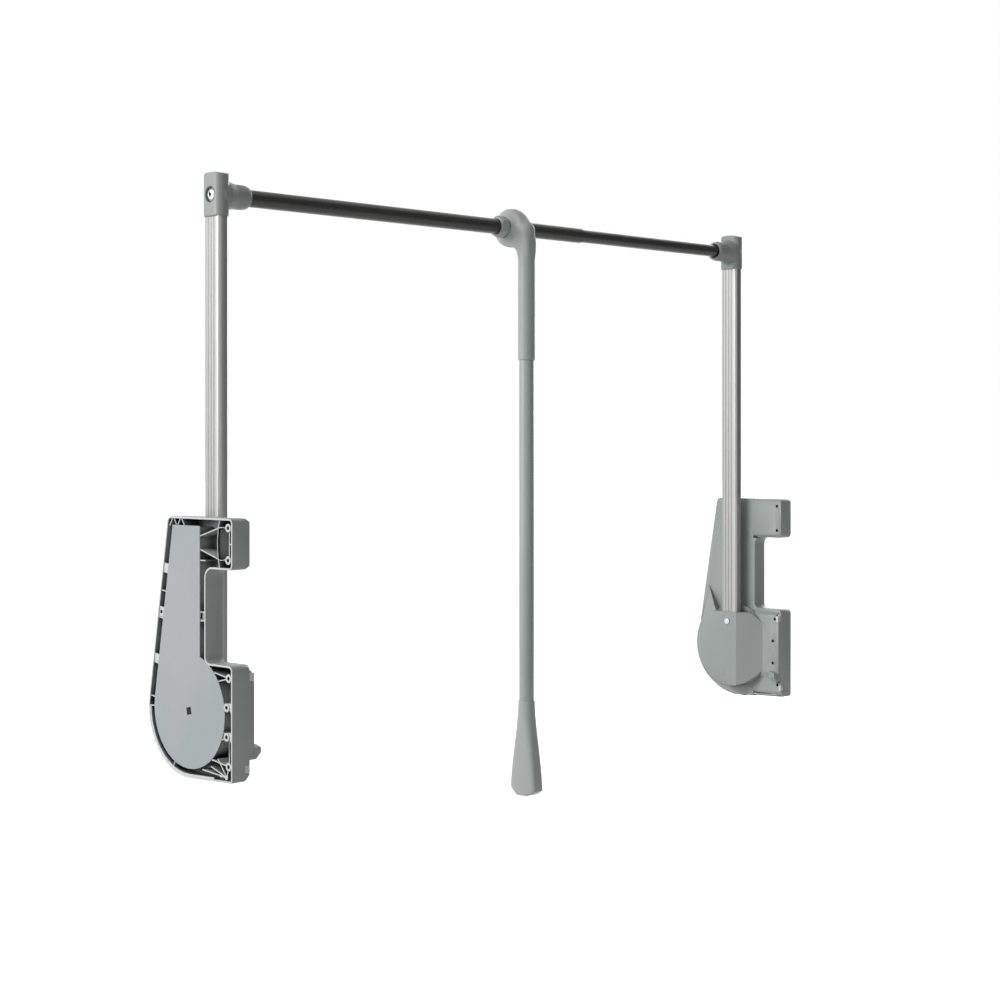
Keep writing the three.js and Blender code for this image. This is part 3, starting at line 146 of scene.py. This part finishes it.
class Surface(Nodes):
    """A material with one main shader, and the textures that feed it."""

    def __init__(self, name, roughness, metallic=0.0, **sockets):
        self.material = bpy.data.materials.new(name)
        self.material.use_nodes = True
        super().__init__(self.material.node_tree)
        self.shader = self.tree.nodes["Principled BSDF"]
        self.shader.inputs["Roughness"].default_value = roughness
        self.shader.inputs["Metallic"].default_value = metallic
        for socket, value in sockets.items():
            self.shader.inputs[socket.replace("_", " ")].default_value = value
        self.place = self.node("TexCoord").outputs["Object"]
        self.relief = None

    def noise(self, cells, detail=3.0, stretch=(1, 1, 1), distortion=0.0):
        """Noise with so many cells to the metre, drawn out along an axis with stretch below 1."""
        mapping = self.node("Mapping")
        mapping.inputs["Scale"].default_value = stretch
        self.link(self.place, mapping.inputs["Vector"])
        texture = self.node("TexNoise")
        texture.inputs["Scale"].default_value = cells
        texture.inputs["Detail"].default_value = detail
        texture.inputs["Distortion"].default_value = distortion
        self.link(mapping.outputs["Vector"], texture.inputs["Vector"])
        return texture.outputs["Fac"]

    def mixed(self, share, first, second):
        """Colour between two colours or colour outputs."""
        mix = self.node("Mix", data_type="RGBA")
        self.link(share, mix.inputs["Factor"])
        for socket, value in ((MIX_FIRST, first), (MIX_SECOND, second)):
            if isinstance(value, tuple):
                mix.inputs[socket].default_value = (*value, 1)
            else:
                self.link(value, mix.inputs[socket])
        return mix.outputs[MIX_RESULT]

    def mottled(self, texture, dark, light, **reach):
        """Colour that follows a texture from one tone to another."""
        return self.mixed(self.spread(texture, 0, 1, **reach), srgb(dark), srgb(light))

    def colour(self, source):
        self.link(source, self.shader.inputs["Base Color"])

    def rough(self, texture, low, high):
        self.link(self.spread(texture, low, high), self.shader.inputs["Roughness"])

    def bump(self, texture, height, strength):
        """Adds a layer of relief, its height in metres, to the layers before it."""
        bump = self.node("Bump")
        bump.inputs["Distance"].default_value = height
        bump.inputs["Strength"].default_value = strength
        self.link(texture, bump.inputs["Height"])
        if self.relief is not None:
            self.link(self.relief, bump.inputs["Normal"])
        self.relief = bump.outputs["Normal"]
        self.link(self.relief, self.shader.inputs["Normal"])

    def openness(self, reach, closed, clear):
        """0 deep in a hollow and 1 on an open surface; walls within reach count."""
        nearby = self.node("AmbientOcclusion", only_local=True, samples=OCCLUSION_SAMPLES)
        nearby.inputs["Distance"].default_value = reach
        return self.spread(nearby.outputs["AO"], 0, 1, closed, clear)

    def across(self, vector):
        """Part of a vector that runs along the rail."""
        parts = self.node("SeparateXYZ")
        self.link(vector, parts.inputs[0])
        return parts.outputs["X"]

    def wall_rim_highlight_mask(self):
        """Mask of a painted highlight: 1 on the housings' rims and rib edges that face the
        wardrobe's walls, 0 elsewhere.
        """
        left, right = cad_box[0][0], cad_box[1][0]
        half = (right - left) / 2
        from_middle = self.spread(self.across(self.place), -half, half, left, right)
        to_side = self.calculated("ABSOLUTE", from_middle)
        near_wall = self.spread(to_side, 0, 1, half - 2 * RIM_DEPTH, half - RIM_DEPTH)
        normal = self.node("NewGeometry").outputs["Normal"]
        facing = self.calculated("ABSOLUTE", self.across(normal))
        return self.calculated("MULTIPLY", near_wall, self.spread(facing, 0, 1, *RIM_HIGHLIGHT_FACING))


def moulded_plastic(name, dark, light, roughness, painted_shade_tone=None, painted_highlight_tone=None):
    """Moulded plastic with a fine spark eroded grain and faint flow marks, with painted shade in
    deep recesses and a painted highlight on rims."""
    surface = Surface(name, roughness, IOR=PLASTIC_IOR)
    flow = surface.noise(cells=9, detail=2, stretch=(1, 1, 0.35), distortion=0.6)
    base = surface.mottled(flow, dark, light)
    if painted_shade_tone:
        # Painted shade: the colour turns to a darker tone where ambient occlusion finds walls close
        # by
        base = surface.mixed(surface.openness(*PAINTED_SHADE_IN_RECESSES), srgb(painted_shade_tone), base)
    if painted_highlight_tone:
        # Painted highlight: a paler tone on the rims and rib edges that face the walls
        base = surface.mixed(surface.wall_rim_highlight_mask(), base, srgb(painted_highlight_tone))
    surface.colour(base)
    surface.rough(surface.noise(cells=60, detail=4), low=roughness - 0.06, high=roughness + 0.07)
    surface.bump(surface.noise(cells=1500, detail=2), height=0.03 * MM, strength=0.35)
    surface.bump(surface.noise(cells=45, detail=2), height=0.12 * MM, strength=0.12)
    return surface.material


def painted_sheet(name, cool, warm):
    """Painted sheet steel: two close greys in wide soft patches, and a slight orange peel."""
    surface = Surface(name, roughness=0.45, metallic=0.05)
    patches = surface.noise(cells=7, detail=1.5, stretch=(1, 1, 0.6))
    surface.colour(surface.mottled(patches, cool, warm, start=0.4, end=0.6))
    surface.rough(surface.noise(cells=140, detail=3), low=0.34, high=0.46)
    surface.bump(surface.noise(cells=520, detail=2), height=0.03 * MM, strength=0.3)
    return surface.material


def drawn_metal(name, dark, light, roughness, metallic, stretch, painted_shade_tone=None, level=0.5):
    """Drawn or brushed metal, with fine lines along the axis whose stretch is below 1, and painted
    shade in its grooves.
    """
    surface = Surface(name, roughness, metallic, Specular_IOR_Level=level)
    lines = surface.noise(cells=2600, detail=2, stretch=stretch)
    base = surface.mottled(lines, dark, light)
    if painted_shade_tone:
        # Painted shade: a darker tone in the flutes and grooves, found by ambient occlusion
        base = surface.mixed(surface.openness(*PAINTED_SHADE_IN_GROOVES), srgb(painted_shade_tone), base)
    surface.colour(base)
    wear = surface.noise(cells=1300, detail=2, stretch=stretch)
    surface.rough(wear, low=roughness - 0.015, high=roughness + 0.02)
    surface.bump(lines, height=0.002 * MM, strength=0.08)
    return surface.material


def cast_surface(name, dark, light, roughness, metallic, grain):
    """Even surface with so many grains to the metre: rubber, black steel, small mouldings."""
    surface = Surface(name, roughness, metallic)
    surface.colour(surface.mottled(surface.noise(cells=85, detail=4), dark, light))
    surface.rough(surface.noise(cells=300, detail=3), low=roughness - 0.08, high=roughness + 0.08)
    surface.bump(surface.noise(cells=grain, detail=3), height=0.03 * MM, strength=0.4)
    return surface.material


def chromed(name, dark, light, socket):
    """Bright chrome with fine handling scratches, with painted shade in the sockets of screws."""
    surface = Surface(name, roughness=0.12, metallic=1.0)
    bright = surface.mottled(surface.noise(cells=160), dark, light)
    # Painted shade: a dark tone in the screws' sockets, found by ambient occlusion
    surface.colour(surface.mixed(surface.openness(*PAINTED_SHADE_IN_SOCKETS), srgb(socket), bright))
    scratches = surface.noise(cells=2600, detail=2, stretch=LINES_UPRIGHT)
    surface.rough(scratches, low=0.07, high=0.2)
    surface.bump(scratches, height=0.004 * MM, strength=0.25)
    return surface.material


LOOKS = {
    # The darker tones are painted shade in hollows; the rim tone is a painted highlight
    "housing_plastic": (moulded_plastic, dict(
        dark="A7AEAC", light="B1B7B5", roughness=0.42, painted_shade_tone="353B3B", painted_highlight_tone="D3D8D7")),
    "connector_plastic": (moulded_plastic, dict(
        dark="9BA2A0", light="A5AAA9", roughness=0.42, painted_shade_tone="353B3B")),
    "handle_plastic": (moulded_plastic, dict(dark="B3B9B7", light="BCC2C0", roughness=0.44)),
    "handle_tube": (painted_sheet, dict(cool="ACB2B0", warm="B4BAB8")),
    "cover_plate": (painted_sheet, dict(cool="A2AAAB", warm="ACADAF")),
    # Its darker tone is painted shade in the arm's grooves
    "arm_aluminium": (drawn_metal, dict(
        dark="A4A4A2", light="B2B2B0", roughness=0.42, metallic=0.6, stretch=LINES_ALONG_ARM,
        painted_shade_tone="3A3A38")),
    "rail_bronze": (drawn_metal, dict(
        dark="444443", light="545452", roughness=0.32, metallic=0.0, stretch=LINES_ALONG_RAIL,
        level=0.3)),
    "bare_steel": (drawn_metal, dict(
        dark="84878A", light="A9ACAF", roughness=0.36, metallic=1.0, stretch=LINES_IN_DEPTH)),
    "dark_steel": (cast_surface, dict(
        dark="1E1F21", light="303133", roughness=0.42, metallic=0.9, grain=900)),
    "pale_plastic": (cast_surface, dict(
        dark="C9CCC9", light="D6D8D5", roughness=0.45, metallic=0.0, grain=1300)),
    "white_plastic": (cast_surface, dict(
        dark="E8E9E6", light="F2F2EF", roughness=0.42, metallic=0.0, grain=1300)),
    "damper_black": (cast_surface, dict(
        dark="161718", light="232425", roughness=0.5, metallic=0.0, grain=1100)),
    "rubber": (cast_surface, dict(
        dark="151515", light="232322", roughness=0.82, metallic=0.0, grain=700)),
    # Its socket tone is painted shade in the screws' sockets
    "chrome": (chromed, dict(dark="C4C7CA", light="DEE0E2", socket="1C1D1E")),
}
MATERIALS = {name: make(name, **tones) for name, (make, tones) in LOOKS.items()}


def dress(obj, look):
    obj.data.materials.clear()
    obj.data.materials.append(MATERIALS[look])


for node_name, node_object in frame["nodes"].items():
    dress(node_object, SLOT_OF[node_name])


# Finished surfaces, made from the model's own solids

WELD = 0.02 * MM
FLAT = math.radians(0.8)  # neighbouring faces that turn by less than this are one flat
BEND = math.radians(11)  # two wide faces that turn by more than this meet in a crisp line
CORNER = math.radians(28)  # an edge that turns by more than this is broken
WIDE = 11 * MM
LARGE_FACES_FIRST = 100  # weight of a modifier that lets the larger face set the shading

CELL = 0.9 * MM  # of the even mesh of a moulding
RELAX = 0.5  # share of the way to its neighbours' middle that a point goes in each round
RAIL_AXIS = Vector(JOINTS["handle_swing"]["pos_m"])
HEAD_DEPTHS = [55 * MM, 62 * MM, 69 * MM, 76 * MM, 83 * MM]  # below the rail's axis
HEAD_BORE_KEPT = 18 * MM
HEAD_ROUNDS = 18

# Width of the broken edges in millimetres, and the number of their segments
SIDE_EDGES = {
    "cover_plate": (0.3, 2),
    "boot": (0.6, 3),
    "arm_stop": (0.6, 2),
    "flange_pad": (0.5, 2),
    "foot_pad": (0.5, 2),
    "boot_screw": (0.5, 3),
    "pivot_axle": (0.4, 2),
    "arm_tube": (0.35, 2),
    "connector_screw": (0.4, 3),
}
MIDDLE_EDGES = {
    "outer_rail": (0.5, 2),
    "inner_rail": (0.4, 2),
    "handle_tube": (0.4, 2),
    "handle_collar": (0.6, 2),
}
HOUSING_EDGES = (0.45, 2)


def is_wide(face):
    return face.calc_area() / max(edge.calc_length() for edge in face.edges) > WIDE


def mark_bends(work):
    """Keeps a crisp line where two wide flats meet, and lets the facets of a curve run together."""
    for edge in work.edges:
        if len(edge.link_faces) == 2 and edge.calc_face_angle() > BEND:
            edge.smooth = not all(is_wide(face) for face in edge.link_faces)


def finished(node, look=None):
    """A new piece with the shape of a CAD node, which it stands for and moves with."""
    work = bmesh.new()
    work.from_mesh(frame["nodes"][node].data)
    bmesh.ops.remove_doubles(work, verts=work.verts, dist=WELD)
    bmesh.ops.dissolve_limit(work, angle_limit=FLAT, verts=work.verts, edges=work.edges)
    for face in work.faces:
        face.smooth = True
    mark_bends(work)
    mesh = bpy.data.meshes.new(node + "_finish")
    work.to_mesh(mesh)
    work.free()
    piece = bpy.data.objects.new(node + "_finish", mesh)
    bpy.context.scene.collection.objects.link(piece)
    dress(piece, look or SLOT_OF[node])
    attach(piece, BODY_OF[node])
    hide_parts(node)
    return piece


def with_broken_edges(node, width_mm, segments):
    """A piece with the small round that a mould or a finishing cut leaves on each edge."""
    piece = finished(node)
    bevel = piece.modifiers.new("broken edges", "BEVEL")
    bevel.width = width_mm * MM
    bevel.segments = segments
    bevel.limit_method = "ANGLE"
    bevel.angle_limit = CORNER
    bevel.use_clamp_overlap = False
    return piece, bevel


def softened(node, width_mm, segments):
    """Broken edges between flats; the larger face of each edge stays flat in its shading."""
    piece, _ = with_broken_edges(node, width_mm, segments)
    flats = piece.modifiers.new("flat faces lead", "WEIGHTED_NORMAL")
    flats.weight = LARGE_FACES_FIRST
    flats.keep_sharp = True


def soften_housing(side):
    """Broken edges of the ribbed shell, whose small faces keep their own shading."""
    piece, bevel = with_broken_edges(side + "_housing", *HOUSING_EDGES)
    bevel.harden_normals = True
    closed = piece.modifiers.new("narrow faces closed", "WELD")
    closed.merge_threshold = WELD


def blended(node, rounds, look=None):
    """A moulding whose parts flow into each other: an even mesh, relaxed a number of rounds."""
    piece = finished(node, look)
    remesh = piece.modifiers.new("even mesh", "REMESH")
    remesh.mode = "VOXEL"
    remesh.voxel_size = CELL
    remesh.use_smooth_shade = True
    relaxed = piece.modifiers.new("blends", "SMOOTH")
    relaxed.factor = RELAX
    relaxed.iterations = rounds
    return piece


def finish_spring(side):
    """The spring, as a finished piece with a mesh of its own."""
    piece = finished(side + "_spring")
    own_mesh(piece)


def finish_head():
    """The loop of the pull rod, which flows into its stem; the bore for the rail keeps its size."""
    piece = blended("handle_head", rounds=20)
    depsgraph = bpy.context.evaluated_depsgraph_get()
    flowing = bpy.data.meshes.new_from_object(piece.evaluated_get(depsgraph))
    piece.modifiers.clear()
    work = bmesh.new()
    work.from_mesh(flowing)
    for depth in HEAD_DEPTHS:
        chosen = [
            vertex for vertex in work.verts
            if vertex.co.z > RAIL_AXIS.z - depth
            and (vertex.co - RAIL_AXIS).yz.length > HEAD_BORE_KEPT
        ]
        for _ in range(HEAD_ROUNDS):
            bmesh.ops.smooth_vert(
                work, verts=chosen, factor=RELAX,
                use_axis_x=True, use_axis_y=True, use_axis_z=True,
            )
    work.to_mesh(flowing)
    work.free()
    piece.data = flowing


for side in SIDES:
    soften_housing(side)
    for part, edges in SIDE_EDGES.items():
        softened(f"{side}_{part}", *edges)
    blended(side + "_top_connector", rounds=10, look="connector_plastic")
    finish_spring(side)
for part, edges in MIDDLE_EDGES.items():
    softened(part, *edges)
finish_head()
blended("handle_grip", rounds=6)


# Stage, light and camera

FLOOR_DROP = 0.25  # below the end of the pull rod
FLOOR_REACH = 30.0
FLOOR_TONE = 0.5
FLOOR_ROUGHNESS = 0.9
SHADOW_REACH = 2.0
NEAR_LIFT = 0.8  # white that the floor adds to itself near the object, where its shadow falls
FAR_LIFT = 0.95  # and far off
AMBIENT = 0.3

LAMP_AIM = (0.6, 0.1, 0.35)
LAMP_SIZE = 2.6
LAMPS = {  # place and power in watts
    "key": ((-3.4, 1.7, 1.8), 138),
    "fill_behind": ((4.6, 1.5, 1.6), 75),
}

CARD_SIZE = 4.4
CARD_PLACE = (3.0, -2.0, 1.2)
CARD_AIM = (0.6, 0.1, 0.6)
CARD_TONE = 0.01
CARD_ROUGHNESS = 0.5

CAMERA_PLACE = (-1.6587, -2.1280, 0.3779)
CAMERA_TURN = math.radians(-45.755)
CAMERA_LENS = 70.37  # millimetres, as is the sensor
CAMERA_SENSOR = 36
CAMERA_SHIFT = -0.0586
CAMERA_REACH = 100


def aimed(place, target, front):
    """Rotation that turns an object's front axis from its place to a target."""
    return (Vector(target) - Vector(place)).to_track_quat(front, "Y").to_euler()


def backdrop_material():
    """White to the camera and to reflections, a plain pale floor to the light that falls on it."""
    surface = Surface(
        "floor", FLOOR_ROUGHNESS, Base_Color=grey(FLOOR_TONE), Emission_Color=grey(1),
    )
    distance = surface.node("VectorMath", operation="LENGTH")
    surface.link(surface.place, distance.inputs[0])
    lift = surface.spread(
        distance.outputs["Value"], NEAR_LIFT, FAR_LIFT, SHADOW_REACH, 2 * SHADOW_REACH,
    )
    strength = surface.calculated("MULTIPLY", surface.seen_directly(), lift)
    surface.link(strength, surface.shader.inputs["Emission Strength"])
    return surface.material


def make_floor():
    bpy.ops.mesh.primitive_plane_add(
        size=2 * FLOOR_REACH, location=(0, 0, cad_box[0][2] - FLOOR_DROP),
    )
    floor = bpy.context.object
    floor.name = "floor"
    floor.data.materials.append(backdrop_material())


def make_world():
    """Pure white behind the object; a softer grey as light."""
    world = bpy.data.worlds.new("studio")
    bpy.context.scene.world = world
    world.use_nodes = True
    nodes = Nodes(world.node_tree)
    background = nodes.tree.nodes["Background"]
    background.inputs["Color"].default_value = grey(1)
    level = nodes.spread(nodes.seen_directly(), AMBIENT, 1, start=0, end=1)
    nodes.link(level, background.inputs["Strength"])


def add_lamp(name, place, power):
    data = bpy.data.lights.new(name, "AREA")
    data.shape = "RECTANGLE"
    data.size = data.size_y = LAMP_SIZE
    data.energy = power
    lamp = bpy.data.objects.new(name, data)
    lamp.location = place
    lamp.rotation_euler = aimed(place, LAMP_AIM, "-Z")
    bpy.context.scene.collection.objects.link(lamp)


def add_dark_card():
    """A black studio card out of view, which only reflections show."""
    bpy.ops.mesh.primitive_plane_add(size=CARD_SIZE, location=CARD_PLACE)
    card = bpy.context.object
    card.name = "dark_card"
    card.rotation_euler = aimed(CARD_PLACE, CARD_AIM, "Z")
    surface = Surface("dark_card", CARD_ROUGHNESS, Base_Color=grey(CARD_TONE))
    card.data.materials.append(surface.material)
    card.visible_camera = False
    card.visible_diffuse = False
    card.visible_shadow = False
    card.visible_transmission = False


def make_camera():
    data = bpy.data.cameras.new("camera")
    data.lens = CAMERA_LENS
    data.sensor_width = CAMERA_SENSOR
    data.shift_y = CAMERA_SHIFT
    data.clip_end = CAMERA_REACH
    camera = bpy.data.objects.new("camera", data)
    camera.location = CAMERA_PLACE
    camera.rotation_euler = (math.pi / 2, 0, CAMERA_TURN)
    bpy.context.scene.collection.objects.link(camera)
    bpy.context.scene.camera = camera


make_floor()
make_world()
add_dark_card()
for lamp_name, (lamp_place, lamp_power) in LAMPS.items():
    add_lamp(lamp_name, lamp_place, lamp_power)
make_camera()
bpy.context.scene.view_settings.view_transform = "Standard"

bpy.context.view_layer.update()
